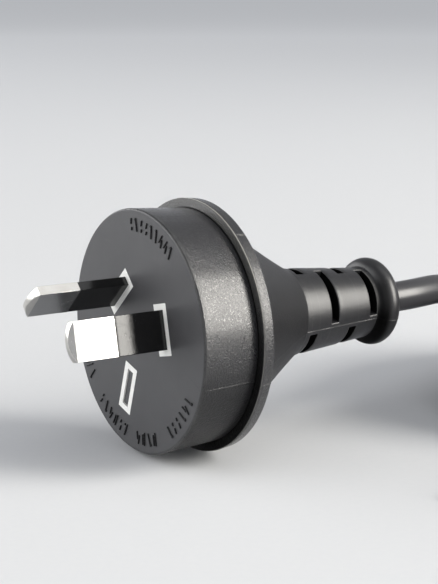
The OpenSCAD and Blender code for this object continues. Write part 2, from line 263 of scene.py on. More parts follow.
def coil_route():
    """The cord's turns: in and out through the layers, a step down at each end of a layer."""
    whole = COIL_ENTRY_A - COIL_EXIT_A + COIL_TURNS * 360
    layer_a = (whole - (COIL_LAYERS - 1) * STEP_A) / COIL_LAYERS
    count = round(layer_a / ROUTE_STEP_A)
    steps = round(STEP_A / ROUTE_STEP_A)
    route = []
    angle = COIL_ENTRY_A
    for layer in range(COIL_LAYERS):
        lanes = (COIL_OUT_LANE, COIL_IN_LANE)
        start, end = lanes if layer % 2 == 0 else lanes[::-1]
        for k in range(count):
            a = angle - layer_a * k / count
            route.append(on_ring(start + (end - start) * k / count, a, layer_z(layer, a)))
        angle -= layer_a
        if layer == COIL_LAYERS - 1:
            route.append(on_ring(end, angle, layer_z(layer, angle)))
            break
        for k in range(steps):
            a = angle - STEP_A * k / steps
            share = (1 - math.cos(math.pi * k / steps)) / 2
            z = layer_z(layer, a) * (1 - share) + layer_z(layer + 1, a) * share
            route.append(on_ring(end, a, z))
        angle -= STEP_A
    return route


entry = on_ring(COIL_OUT_LANE, COIL_ENTRY_A, TOP_LANE_Z)
run_route = [Vector(p) for p in (
    (BODY_END_Z, 0, 0), (BODY_END_Z + 2, 0, 0), (56, 0.1, 0.1), (60, 0.6, 0.15), (64, 1.5, 0.1),
    (68, 3.1, 0.4 * TOP_LANE_Z), (71, 4.8, 0.76 * TOP_LANE_Z),
)] + [entry - 1.2 * clockwise(COIL_ENTRY_A)]
tail_start = on_ring(COIL_OUT_LANE, COIL_EXIT_A, FLOOR_Z + CORD_R)
tail_dir = clockwise(COIL_EXIT_A)
tail_side = Vector((0, 0, 1)).cross(tail_dir)
tail_end = tail_start + TAIL_LEN * tail_dir


def beside_tail(ahead, aside, height, side):
    place = tail_end + ahead * tail_dir + side * aside * tail_side
    place.z = FLOOR_Z + height
    return place


# The two cores past the sheath's end: (ahead, aside, height) of the active one's points
STRIP_LEN = 40
TINNED_LEN = 8
STRIP_SPREAD = 9
strip_route = [
    (0, 1.07, 2.65), (3, 1.07, 2.65), (7, 1.67, 1.95), (11, 2.37, 1.25), (15, 2.97, 1.05),
    (20, 3.47, 1.05), (26, 3.97, 1.05), (STRIP_LEN - TINNED_LEN, STRIP_SPREAD / 2, 1.05),
]


def add_cord():
    route = smooth_route(run_route, 1.2) + coil_route()
    steps = round(TAIL_LEN / 1.5)
    route += [tail_start + TAIL_LEN * k / steps * tail_dir for k in range(1, steps + 1)]
    cord, length = tube("cord", route, CORD_R, 24)
    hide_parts("cord_run", "cord_coil", "cord_tail")
    ends = []
    for name, side in (("active", ACTIVE), ("neutral", NEUTRAL)):
        points = [beside_tail(*p, side) for p in strip_route]
        lead = smooth_route(points, 0.8)
        for place in lead:
            place.z = max(place.z, FLOOR_Z + CORE_R)
        core, _ = tube(name + "_lead", lead, CORE_R, 16)
        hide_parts(name + "_tail_core")
        tip = tinned_strand(name + "_lead_tip", points[-1], (points[-1] - points[-2]).normalized())
        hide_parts(name + "_tinned_end")
        ends += [core, tip]
    tie = add_tie()
    return cord, ends, tie


# A stripped conductor's twist: strands seen round it, sides of its section, turns over its length
STRANDS = 9
STRAND_SIDES = 54
STRAND_TURNS = 2.2
STRAND_STATIONS = [(0, 1), (0.25, 1)] + [(0.4 * k, 1) for k in range(1, 19)] + [
    (7.6, 1), (7.85, 0.9), (TINNED_LEN, 0.6),
]


def tinned_strand(name, start, ahead):
    """Twisted strands under solder: a lobed section that turns along the conductor."""
    side = Vector((0, 0, 1)).cross(ahead).normalized()
    up = ahead.cross(side)
    bm = bmesh.new()
    rings = []
    for z, share in STRAND_STATIONS:
        ring = []
        for k in range(STRAND_SIDES):
            a = 2 * math.pi * k / STRAND_SIDES
            lobe = abs(math.sin(STRANDS * (a / 2 + STRAND_TURNS * math.pi * z / TINNED_LEN)))
            beside, above = polar(CONDUCTOR_R * share * (0.9 + 0.1 * lobe), a)
            ring.append(bm.verts.new((start + z * ahead + beside * side + above * up) * MM))
        rings.append(ring)
    bridge(bm, rings)
    return add_mesh(name, bm)


STRAP_T = 0.8
STRAP_LIFT = 0.05
# Shares of the way round at which the strap starts on top, and where its own end laps to
LAP_SHARE = 0.085
# Section of the strap as shares of its width and thickness
STRAP_SECTION = [
    (-0.5, -0.3), (-0.49, -0.45), (-0.46, -0.5), (-0.2, -0.5), (0, -0.5), (0.2, -0.5), (0.46, -0.5),
    (0.49, -0.45), (0.5, -0.3), (0.5, 0.3), (0.49, 0.45), (0.46, 0.5), (0.2, 0.5), (0, 0.5),
    (-0.2, 0.5), (-0.46, 0.5), (-0.49, 0.45), (-0.5, 0.3),
]


def strap_loop(offset, first, last, count):
    """Points round the coil's section at an offset from it, by share of the way round from the top."""
    out_r = COIL_OUT_LANE + CORD_R
    r0, r1 = out_r - 3.4 * 2 * CORD_R - offset, out_r + offset
    z0, z1 = FLOOR_Z + TIE_T - offset, TOP_LANE_Z + CORD_R + offset
    c = CORD_R + offset
    flat_r, flat_z, bend = r1 - r0 - 2 * c, z1 - z0 - 2 * c, c * math.pi / 2
    total = 2 * (flat_r + flat_z) + 4 * bend
    mid = (r0 + r1) / 2
    # Each corner's centre and first angle, then the flat after it: its start, heading and length
    sides = [
        ((r1 - c, z1 - c), 90, (r1, z1 - c), (0, -1), flat_z),
        ((r1 - c, z0 + c), 0, (r1 - c, z0), (-1, 0), flat_r),
        ((r0 + c, z0 + c), -90, (r0, z0 + c), (0, 1), flat_z),
        ((r0 + c, z1 - c), -180, (r0 + c, z1), (1, 0), math.inf),
    ]
    places = []
    for k in range(count + 1):
        s = (first + (last - first) * k / count) * total % total
        if s < flat_r / 2:
            places.append((mid + s, z1))
            continue
        s -= flat_r / 2
        for centre, start_a, start, heading, flat in sides:
            if s < bend:
                beside, above = polar(c, math.radians(start_a - 90 * s / bend))
                places.append((centre[0] + beside, centre[1] + above))
                break
            s -= bend
            if s < flat:
                places.append((start[0] + heading[0] * s, start[1] + heading[1] * s))
                break
            s -= flat
    return places


def add_tie():
    """A strap round the bundle whose end laps over its start on top."""
    path = strap_loop(STRAP_T / 2, -LAP_SHARE, 1 - LAP_SHARE, 150)
    start = strap_loop(STRAP_T / 2, -LAP_SHARE, LAP_SHARE, 30)
    lap = strap_loop(STRAP_T * 1.5 + STRAP_LIFT, -LAP_SHARE, LAP_SHARE, 30)
    for k in range(1, len(lap)):
        climb = min(k / 5, 1)
        path.append(tuple(a + (b - a) * climb for a, b in zip(start[k], lap[k])))
    bm = bmesh.new()
    rings = []
    last = len(path) - 1
    for i, (r, z) in enumerate(path):
        ahead = Vector(path[min(i + 1, last)]) - Vector(path[max(i - 1, 0)])
        ahead.normalize()
        out = Vector((-ahead.y, ahead.x))
        width = TIE_W * (0.93 + 0.07 * min((last - i) / 3, 1))
        ring = []
        for wide, deep in STRAP_SECTION:
            place = Vector((r, z)) + out * deep * STRAP_T
            angle = TIE_A + math.degrees(width * wide / place.x)
            ring.append(bm.verts.new(on_ring(place.x, angle, place.y) * MM))
        rings.append(ring)
    bridge(bm, rings)
    tie = add_mesh("tie_strap", bm)
    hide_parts("cord_tie")
    return tie


# ---- Moulded body -------------------------------------------------------------------------


def arc(centre, radius, start, end, steps):
    """Points on an arc between two angles in degrees, both ends with it."""
    points = []
    for k in range(steps + 1):
        across, up = polar(radius, math.radians(start + (end - start) * k / steps))
        points.append((centre[0] + across, centre[1] + up))
    return points


def line(start, end, steps):
    """Points after the start, up to the end."""
    return [
        (start[0] + (end[0] - start[0]) * k / steps, start[1] + (end[1] - start[1]) * k / steps)
        for k in range(1, steps + 1)
    ]


def cone_sweep():
    root = Vector((CONE_ROOT_R, FLANGE_Z + FLANGE_T))
    end = Vector((RELIEF_ROOT_R, CONE_END_Z))
    half = (end - root).length / 2
    out = Vector((end.y - root.y, root.x - end.x)) / (2 * half)
    centre = (root + end) / 2 + math.sqrt(CONE_SWEEP_R ** 2 - half ** 2) * out
    a0 = math.degrees(math.atan2(root.y - centre.y, root.x - centre.x)) % 360
    a1 = math.degrees(math.atan2(end.y - centre.y, end.x - centre.x)) % 360
    return arc(centre, CONE_SWEEP_R, a0, a1, 40)


# Rounding of the slots' outer edges, and the offsets of the rows of vertices across a slot's side
SLOT_EDGE = 0.16
SLOT_FOOT = 0.24
SLOT_INSET = [-SLOT_EDGE, -0.3 * SLOT_EDGE, 0, 0.06, SLOT_FOOT]
# The ridge along the parting plane: share of its height at each offset from the plane
SEAM_RIDGE = {-0.17: 0, -0.1: 0.25, -0.05: 0.85, 0: 1, 0.05: 0.85, 0.1: 0.25, 0.17: 0}
SEAM_H = 0.085
CONE_SEAM = 0.15
SEAM_START_Z = 0.3
# The witness line across the flange's rim
WITNESS_A = 110
WITNESS_H = 0.07
WITNESS_HALF_A = 0.3
WITNESS_OFFSETS = (-0.32, -0.16, -0.08, 0.08, 0.16, 0.32)
WITNESS_Z = (FLANGE_Z + 0.05, FLANGE_Z + FLANGE_T - 0.1)
BARREL_LEAST_R = 5.6
# Stations in the middle of a quarter
QUARTER_STEPS = 62

# A place round the body where each ring has a vertex. Its angle is the one at the barrel's root. Kinds:
# "plain" stays at its angle, "seam" and "wall" keep their offset from the plane at the quarter's angle.
# Levels are for even and odd rows: 0 on the surface, 1 and 2 on a slot's rounded edge, 3 at its wall's
# foot, where the wall's own offset counts, and 4 on its floor.
Station = namedtuple("Station", "angle kind quarter offset wall levels")


def arc_degrees(offset, radius):
    return math.degrees(math.asin(offset / radius))


def body_stations():
    stations = []

    def add(kind, quarter, offset, levels, wall=0):
        angle = quarter + arc_degrees(offset, RELIEF_ROOT_R)
        stations.append(Station(angle, kind, quarter, offset, wall, levels))

    def spread(first, last, levels):
        for k in range(QUARTER_STEPS + 1):
            angle = first + (last - first) * k / QUARTER_STEPS
            stations.append(Station(angle, "plain", 0, 0, 0, levels))

    rib = SEAM_RIB / 2
    inward = list(enumerate(SLOT_INSET))
    seam = list(SEAM_RIDGE)
    for turn in (0, 180):
        for offset in seam[3:]:
            add("seam", turn, offset, (0, 0))
        for level, inset in inward:
            add("wall", turn, rib + inset, (level, 0), rib)
        spread(turn + 9.5, turn + 84, (4, 0))
        # Odd rows start before the quarter, even rows end after it
        for level, inset in inward:
            add("wall", turn + 90, inset - SLOT_OVERRUN, (4, level), -SLOT_OVERRUN)
        for level, inset in inward[::-1]:
            add("wall", turn + 90, SLOT_OVERRUN - inset, (level, 4), SLOT_OVERRUN)
        spread(turn + 96, turn + 170.5, (0, 4))
        for level, inset in inward[::-1]:
            add("wall", turn + 180, -rib - inset, (0, level), -rib)
        for offset in seam[:3]:
            add("seam", turn + 180, offset, (0, 0))
    stations += [Station(WITNESS_A + off, "plain", 0, 0, 0, (0, 4)) for off in WITNESS_OFFSETS]
    return sorted(stations, key=lambda station: station.angle)


def slot_window(quarter, row, radius):
    """First and last angle of a slot of a row in a quarter, at a radius."""
    rib = arc_degrees(SEAM_RIB / 2 + SLOT_FOOT, radius)
    over = arc_degrees(SLOT_OVERRUN - SLOT_FOOT, radius)
    if row % 2:
        return quarter - over, quarter + 90 - rib
    return quarter + rib, quarter + 90 + over


def vertex_angle(station, level, row, radius):
    """Angle of a station's vertex at a radius; on a slot's floor the stations close up between its walls."""
    if station.kind == "plain":
        if level < 3:
            return station.angle
        quarter = station.angle // 90 * 90
        low, high = slot_window(quarter, row, radius)
        out_low, out_high = slot_window(quarter, row, RELIEF_ROOT_R)
        return low + (high - low) * (station.angle - out_low) / (out_high - out_low)
    if station.kind == "wall" and level < 3:
        radius = min(max(radius, BARREL_LEAST_R), RELIEF_ROOT_R)
    at_foot = level >= 3 and station.levels[row % 2] == 3
    return station.quarter + arc_degrees(station.wall if at_foot else station.offset, radius)


BEAD_RING_R = BEAD_R - BEAD_ROUND
FILLET_R = RELIEF_TIP_R + BEAD_FILLET
FILLET_Z = BEAD_Z - math.sqrt((BEAD_ROUND + BEAD_FILLET) ** 2 - (FILLET_R - BEAD_RING_R) ** 2)


def relief_r(z):
    """Radius of the strain relief's barrel at a depth."""
    return RELIEF_ROOT_R + (RELIEF_TIP_R - RELIEF_ROOT_R) * (z - CONE_END_Z) / (FILLET_Z - CONE_END_Z)


RIM_ROUND = 0.4
# Width of the painted dark line of shade where the side wall meets the flange
CREASE_W = 0.28
FLANGE_EDGE = 0.16
FLANGE_DRAFT = 0.2
FLANGE_ROUND = 0.3
FLANGE_REAR_Z = FLANGE_Z + FLANGE_T
CONE_CREASE = 0.12
CORD_HOLE_R = 2.8
CORD_HOLE_EDGE = 0.25
CORD_HOLE_Z = BODY_END_Z - 1.6
# Grain of the compound in each zone: 0 on the face, 1 where the mould was spark-eroded most
WALL_GRAIN = 1.0
FLANGE_GRAIN = 0.9
ROUND_GRAIN = 0.5
RELIEF_GRAIN = 0.15
SLOT_GRAIN = 0.12
END_GRAIN = 0.1


def on_flange_front(radius, depth):
    return abs(depth - FLANGE_Z) < 0.01 and radius < FLANGE_R


def shade_at(radius, depth, up):
    """Share of painted shade, darkening where little light gets in: the flange's root and lower front, the
    bead's front, the side wall's lower side and the cone.
    """
    if on_flange_front(radius, depth):
        return 0.9 if radius < SIDE_REAR_R + 0.01 else 0.75 * ease(up, 0.4, -0.3)
    if depth > FILLET_Z - 0.3 and radius > RELIEF_TIP_R - 0.1:
        round_bead = 0.5 * ease(up, 0.95, 0.5) + 0.4 * ease(up, 0.3, -0.3)
        return round_bead * ease(depth, BEAD_Z - 0.1, BEAD_Z - 1.3)
    if SEAM_START_Z < depth < FLANGE_Z:
        return 0.4 * ease(up, 0.1, -0.5)
    return 0.28 if FLANGE_REAR_Z < depth < CONE_END_Z - 0.1 else 0


def painted_highlight_at(radius, depth, up):
    """Share of painted highlight: the thin bright line on the flange's front edge and a lighter top on the
    flange's front face, both strongest at the top.
    """
    if radius > FLANGE_R - 0.14 and FLANGE_Z + 0.02 < depth < FLANGE_Z + 0.15:
        return 0.15 + 0.85 * ease(up, 0.05, 0.6)
    if on_flange_front(radius + 0.14, depth) and radius > SIDE_REAR_R + 0.01:
        return 0.14 * ease(up, 0, 0.6)
    return 0


def body_rings():
    """Rings of the body as (radius, depth, slot row or None, level, grain, edge), and its creases."""
    rings = []
    creases = []

    def add(points, grain, edge=0.0, last_grain=None):
        change = 0 if last_grain is None else last_grain - grain
        for i, (r, z) in enumerate(points):
            rings.append((r, z, None, 0, grain + change * i / max(len(points) - 1, 1), edge))

    def add_slot(row, points):
        for (r, z), level in points:
            rings.append((r, z, row, level, SLOT_GRAIN, 0.6 if level in (1, 2) else 0))

    add(arc((FACE_R - RIM_ROUND, RIM_ROUND), RIM_ROUND, -78, 0, 7), RELIEF_GRAIN, 1.0, 0.8)
    add(line((FACE_R, RIM_ROUND), (SIDE_REAR_R + 0.02, FLANGE_Z - CREASE_W), 14), WALL_GRAIN)
    add([(SIDE_REAR_R, FLANGE_Z)], WALL_GRAIN)
    creases.append(len(rings) - 1)
    band_r, edge_r = SIDE_REAR_R + CREASE_W, FLANGE_R - FLANGE_EDGE
    add([(band_r, FLANGE_Z)] + line((band_r, FLANGE_Z), (edge_r, FLANGE_Z), 3), WALL_GRAIN)
    add(arc((edge_r, FLANGE_Z + FLANGE_EDGE), FLANGE_EDGE, -90, 0, 4)[1:], ROUND_GRAIN, 1.0)
    rear_r, rear_z = FLANGE_R - FLANGE_DRAFT, FLANGE_REAR_Z - FLANGE_ROUND
    add(line((FLANGE_R, FLANGE_Z + FLANGE_EDGE), (rear_r, rear_z), 4), FLANGE_GRAIN)
    add(arc((rear_r - FLANGE_ROUND, rear_z), FLANGE_ROUND, 0, 90, 5)[1:], 0.6, 0.7)
    add(line((rear_r - FLANGE_ROUND, FLANGE_REAR_Z), (CONE_ROOT_R, FLANGE_REAR_Z), 4), FLANGE_GRAIN)
    creases.append(len(rings) - 1)
    sweep = cone_sweep()
    add(sweep[1:-2], ROUND_GRAIN, last_grain=0.3)
    add([(sweep[-1][0] + 0.05, sweep[-1][1] - CONE_CREASE)], 0.3)
    add([(RELIEF_ROOT_R, CONE_END_Z)], 0.3, 0.4)
    z = CONE_END_Z + CONE_CREASE
    add([(relief_r(z), z)], RELIEF_GRAIN)
    for row, mid in enumerate(SLOT_ROWS_Z):
        start = mid - SLOT_W / 2
        add([(relief_r(q), q) for _, q in line((0, z), (0, start - SLOT_EDGE - 0.1), 3)], RELIEF_GRAIN)
        side = [(start + inset, level) for level, inset in enumerate(SLOT_INSET)]
        far_side = [(2 * mid - depth, level) for depth, level in side[::-1]]
        add_slot(row, [((relief_r(q), q), level) for q, level in side + [(mid, 4)] + far_side])
        z = mid + SLOT_W / 2 + SLOT_EDGE
    fillet_a = math.degrees(math.atan2(BEAD_Z - FILLET_Z, BEAD_RING_R - FILLET_R))
    add([(relief_r(z + 0.08), z + 0.08)], END_GRAIN, 0.5)
    add(arc((FILLET_R, FILLET_Z), BEAD_FILLET, 180, fillet_a, 7), 0.08)
    add(arc((BEAD_RING_R, BEAD_Z), BEAD_ROUND, fillet_a - 180, 90, 26)[1:], 0.05)
    lip_r, lip_z = CORD_HOLE_R + CORD_HOLE_EDGE, BODY_END_Z - CORD_HOLE_EDGE
    add(line((BEAD_RING_R, BODY_END_Z), (lip_r, BODY_END_Z), 4), END_GRAIN)
    add(arc((lip_r, lip_z), CORD_HOLE_EDGE, 90, 180, 4)[1:], END_GRAIN, 0.5)
    add(line((CORD_HOLE_R, lip_z), (CORD_HOLE_R - 0.05, CORD_HOLE_Z), 2), END_GRAIN)
    return rings, creases


def rounded_rect(half_w, half_t, corner, steps=4):
    points = []
    for sx, sy, a0 in ((1, 1, 0), (-1, 1, 90), (-1, -1, 180), (1, -1, 270)):
        points += arc((sx * (half_w - corner), sy * (half_t - corner)), corner, a0, a0 + 90, steps)
    return points


def blade_axes(side):
    """Origin and axes of a blade's section, with its width first, in the plug's axes."""
    if side is None:
        return Vector((0, -EARTH_R)), Vector((0, 1)), Vector((-1, 0))
    angle = math.radians(PIN_ANGLE - 90 if side > 0 else 90 - PIN_ANGLE)
    across, up = polar(PIN_CIRCLE_R, math.radians(PIN_ANGLE))
    wide = Vector(polar(1, angle))
    return Vector((side * across, up)), wide, Vector((-wide.y, wide.x))


def in_plug(side, w, t):
    origin, wide, deep = blade_axes(side)
    place = origin + w * wide + t * deep
    return place.x, place.y


def section_ring(bm, side, outline, depth):
    """A ring of vertices whose outline is in a blade's section, at a depth."""
    return [bm.verts.new(laid(*in_plug(side, w, t), depth)) for w, t in outline]


def add_body():
    bm = bmesh.new()
    float_layer = bm.verts.layers.float.new
    grain_layer, edge_layer = float_layer("grain"), float_layer("edge")
    painted_shade_layer, painted_highlight_layer = float_layer("painted_shade"), float_layer("painted_highlight")
    stations = body_stations()
    outline, creases = body_rings()
    rings = []
    deep = set()
    lip_z = SLOT_ROWS_Z[-1] + SLOT_W / 2 - 0.01
    for radius, depth, row, ring_level, grain, edge in outline:
        parity = (row or 0) % 2
        level_radii = [
            radius, radius - 0.3 * SLOT_EDGE, radius - SLOT_EDGE, SLOT_CORE_R + SLOT_FOOT, SLOT_CORE_R,
        ]
        ring = []
        for station in stations:
            station_level = station.levels[parity]
            level = min(ring_level, station_level)
            r, z = level_radii[level], depth
            if ring_level == 3 and station_level >= 3:
                mid = SLOT_ROWS_Z[row]
                z = mid + math.copysign(SLOT_W / 2, depth - mid)
            angle = math.radians(vertex_angle(station, level, parity, r))
            ridge = SEAM_RIDGE[station.offset] if station.kind == "seam" else 0
            if ridge and depth > SEAM_START_Z:
                drift = 0.75 + 0.5 * noise.noise(Vector((depth * 0.5, 3.1 + station.quarter, 0)))
                on_cone = CONE_SEAM if FLANGE_REAR_Z < depth < CONE_END_Z - 0.1 else 1
                r += SEAM_H * ridge * drift * on_cone * min((depth - SEAM_START_Z) / 0.5, 1)
            if station.kind == "plain" and WITNESS_Z[0] < depth < WITNESS_Z[1]:
                r += WITNESS_H * max(1 - abs(station.angle - WITNESS_A) / WITNESS_HALF_A, 0)
            up = math.sin(angle + ROLL)
            vert = bm.verts.new(laid(*polar(r, angle), z))
            vert[grain_layer] = grain
            vert[edge_layer] = 1 if ridge > 0.8 else edge if level < 3 else 0
            # Painted shade: full in the slots' depths, elsewhere from the shade share round the body
            vert[painted_shade_layer] = 1 if level >= 3 else shade_at(radius, depth, up)
            vert[painted_highlight_layer] = painted_highlight_at(radius, depth, up)
            if level >= 3 or (ring_level == 2 and station_level >= 3):
                deep.add(vert)
            elif level == 1 and depth > lip_z:
                # Painted highlight on the lip behind the last row of slots, stronger towards the top
                vert[painted_highlight_layer] = 0.3 * ease(up, -0.3, 0.3)
            ring.append(vert)
        rings.append(ring)
    for face in bridge(bm, rings, capped=False):
        # Faces deep in the slots take the second material, which is painted shade
        face.material_index = int(all(vert in deep for vert in face.verts))
    bm.faces.new(rings[-1])
    for crease in creases:
        for edge in ring_edges(bm, rings[crease]):
            edge.smooth = False
    add_face(bm, rings[0])
    piece = add_mesh("plug_body", bm)
    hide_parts("moulded_body")
    return piece


# The earth collar's fill: (depth, how far it stands inside the collar)
EARTH_FILL = ((EARTH_RECESS, 0.22), (EARTH_RECESS + 0.02, 0.08), (EARTH_RECESS + 0.1, 0), (CARRIER_Z, 0))
FACE_SHARE = 0.9967


def add_face(bm, rim):
    """The contact face, with holes where the collars come through and the earth slot's fill."""
    inner = [
        bm.verts.new((0, vert.co.y * FACE_SHARE, vert.co.z * FACE_SHARE)) for vert in rim
    ]
    bridge(bm, [inner, rim], capped=False)
    edges = ring_edges(bm, inner)
    collar = rounded_rect(PIN_W / 2 + COLLAR_WALL_W, PIN_T / 2 + COLLAR_WALL_T, 0.2)
    eased = [(w * 1.0075, t * (1 + 0.03 / 1.8)) for w, t in collar]
    for side in (ACTIVE, NEUTRAL, None):
        loops = [section_ring(bm, side, *at) for at in ((eased, 0), (collar, 0.05), (collar, CARRIER_Z))]
        bridge(bm, loops, capped=False)
        bm.faces.new(loops[-1])
        opening = ring_edges(bm, loops[0])
        for edge in opening:
            edge.smooth = False
        edges += opening
    bmesh.ops.triangle_fill(bm, use_beauty=True, edges=edges)
    outline = rounded_rect(PIN_W / 2 - 0.02, PIN_T / 2 - 0.02, 0.12)
    loops = []
    for depth, shrink in EARTH_FILL:
        inset = [(w - math.copysign(shrink, w), t - math.copysign(shrink, t)) for w, t in outline]
        loops.append(section_ring(bm, None, inset, depth))
    bridge(bm, loops)


# Plain raised marks round the face: (first angle, last angle, number of marks)
MARK_R = 17.45
MARK_ARCS = [(68, 108, 9), (-67, -95, 6), (-108, -125, 4), (-142, -169, 6), (-45, -51, 2)]
# Strokes of each kind of mark: (middle outwards, middle along, half height, half width, lean)
MARK_KINDS = [
    [(0, -0.25, 1.1, 0.12, 6), (0.1, 0.3, 0.9, 0.12, 6)],
    [(0.3, -0.2, 0.8, 0.13, 14), (-0.35, 0.25, 0.7, 0.13, -8)],
    [(0, 0, 1.1, 0.14, 16), (-0.85, 0.4, 0.2, 0.16, 0)],
    [(0.5, 0, 0.5, 0.14, 10), (-0.7, 0.1, 0.3, 0.15, 10)],
    [(0, 0, 1.1, 0.14, -12), (0.85, -0.35, 0.2, 0.16, 0)],
]
# A stroke's rounding: (depth, how far its outline draws in)
MARK_ROUNDING = ((0.02, 0), (-0.12, 0), (-0.18, 0.03), (-0.2, 0.08))


def add_stroke(bm, out, along, up, beside, tall, wide, lean):
    """One raised stroke, on the face at a place in the directions out and along."""
    cosine, sine = polar(1, math.radians(lean))
    loops = []
    for depth, shrink in MARK_ROUNDING:
        loop = []
        for a, b in rounded_rect(tall, wide, wide * 0.8, 3):
            a, b = a * (1 - shrink / tall), b * (1 - shrink / wide)
            outwards, sideways = up + a * cosine - b * sine, beside + a * sine + b * cosine
            place = out * (MARK_R + outwards) + along * sideways
            loop.append(bm.verts.new(laid(place.x, place.y, depth)))
        loops.append(loop)
    bridge(bm, loops)


def add_marks():
    bm = bmesh.new()
    random.seed(11)
    for first, last, count in MARK_ARCS:
        for k in range(count):
            out = Vector(polar(1, math.radians(first + (last - first) * k / max(count - 1, 1))))
            for stroke in random.choice(MARK_KINDS):
                add_stroke(bm, out, Vector((-out.y, out.x)), *stroke)
    piece = add_mesh("face_marks", bm)
    return piece


NICK_A = math.radians(158)
NICK_Z = 7.8
NICK_SIDES = 14
# The scar's rings: (share of its size, height over the wall)
NICK_RINGS = ((1, -0.03), (0.8, 0.05), (0.62, 0.09), (0.4, 0.02), (0.2, -0.02))


def add_nick():
    """A small scar in the side wall, with a raised crumb on its lip."""
    slope = (FACE_R - SIDE_REAR_R) / FLANGE_Z
    base = FACE_R - slope * NICK_Z
    bm = bmesh.new()
    random.seed(3)
    rings = []
    for share, height in NICK_RINGS:
        ring = []
        for k in range(NICK_SIDES):
            a = 2 * math.pi * k / NICK_SIDES
            wobble = 1 + 0.22 * math.sin(3 * a + 1) + 0.1 * random.uniform(-1, 1)
            along = 0.42 * share * wobble * math.cos(a)
            across = 0.3 * share * wobble * math.sin(a)
            r = base + height * (1 + 0.6 * math.sin(2 * a + 0.6)) - slope * along
            ring.append(bm.verts.new(laid(*polar(r, NICK_A + across / base), NICK_Z + along)))
        rings.append(ring)
    bridge(bm, rings)
    piece = add_mesh("side_nick", bm)
    return piece


# ---- Blades and sleeves -------------------------------------------------------------------

TIP_R = 5.1
TIP_BEVEL = 0.35
# The blade inside the plug: the neck's half width and the crimp barrel's radius, and where each part ends
NECK_R = 1.7
TAIL_END_Z = 7.2
NECK_END_Z = 9.3
CRIMP_END_Z = 14.2


def add_blade(name, side):
    bm = bmesh.new()
    half_w, half_t = PIN_W / 2, PIN_T / 2
    tip_a = arc_degrees(half_w, TIP_R)
    tip = arc((0, -PIN_LEN + TIP_R), TIP_R, -90 + tip_a, -90 - tip_a, 18)
    bevel_z = tip[0][1]
    # Faces marked here are the broad sides, which the nickel finish paints darker as painted shade
    broad = bm.faces.layers.float.new("broad")
    rings = []
    for way in (1, -1):
        root = section_ring(bm, side, ((half_w, way * half_t), (-half_w, way * half_t)), -SLEEVE_LEN)
        edge = []
        for w, z in tip:
            half = half_t - TIP_BEVEL * max(0, bevel_z - z) / (bevel_z + PIN_LEN)
            edge += section_ring(bm, side, ((w, way * half),), z)
        bm.faces.new((root[0], edge[0], edge[-1], root[1]))[broad] = 1
        bm.faces.new(edge)
        bm.edges.get((edge[0], edge[-1])).smooth = False
        rings.append([root[0]] + edge + [root[1]])
    bridge(bm, rings, capped=False)
    # Waist under the sleeve, tail in the carrier, neck and crimp barrel
    waist = rounded_rect(half_w - SLEEVE_WALL_W, half_t - SLEEVE_WALL_T, 0.05, 2)
    tail = rounded_rect(half_w, half_t, 0.05, 2)
    neck = rounded_rect(NECK_R, half_t, 0.05, 2)
    crimp = rounded_rect(NECK_R, NECK_R, NECK_R - 0.01, 6)
    for outline, z0, z1 in (
        (waist, -SLEEVE_LEN - 0.01, SLEEVE_ROOT), (tail, SLEEVE_ROOT, TAIL_END_Z),
        (neck, TAIL_END_Z - 0.01, NECK_END_Z), (crimp, NECK_END_Z - 0.1, CRIMP_END_Z),
    ):
        bridge(bm, [section_ring(bm, side, outline, z0), section_ring(bm, side, outline, z1)])
    return add_mesh(name, bm, bevel=0.1 * MM)


SLEEVE_EDGE = 0.1
# The sleeve's outside from its front end to its root: (depth, how far it stands under the blade's surface)
SLEEVE_STATIONS = [
    (-SLEEVE_LEN + 0.02, SLEEVE_WALL_T + 0.02), (-SLEEVE_LEN + 0.02, 0.06), (-SLEEVE_LEN + 0.04, 0.02),
    (-SLEEVE_LEN + 0.09, 0), (-SLEEVE_LEN + 0.5, 0), (-4, 0), (-0.4, 0), (SLEEVE_ROOT, 0),
    (SLEEVE_ROOT, SLEEVE_WALL_T + 0.02),
]


def add_sleeve(name, side):
    bm = bmesh.new()
    rings = []
    for z, inset in SLEEVE_STATIONS:
        corner = max(SLEEVE_EDGE - inset, 0.03)
        rings.append(section_ring(bm, side, rounded_rect(PIN_W / 2 - inset, PIN_T / 2 - inset, corner), z))
    bridge(bm, rings + [rings[0]], capped=False)
    return add_mesh(name, bm)


# ---- Shared effects -----------------------------------------------------------------------

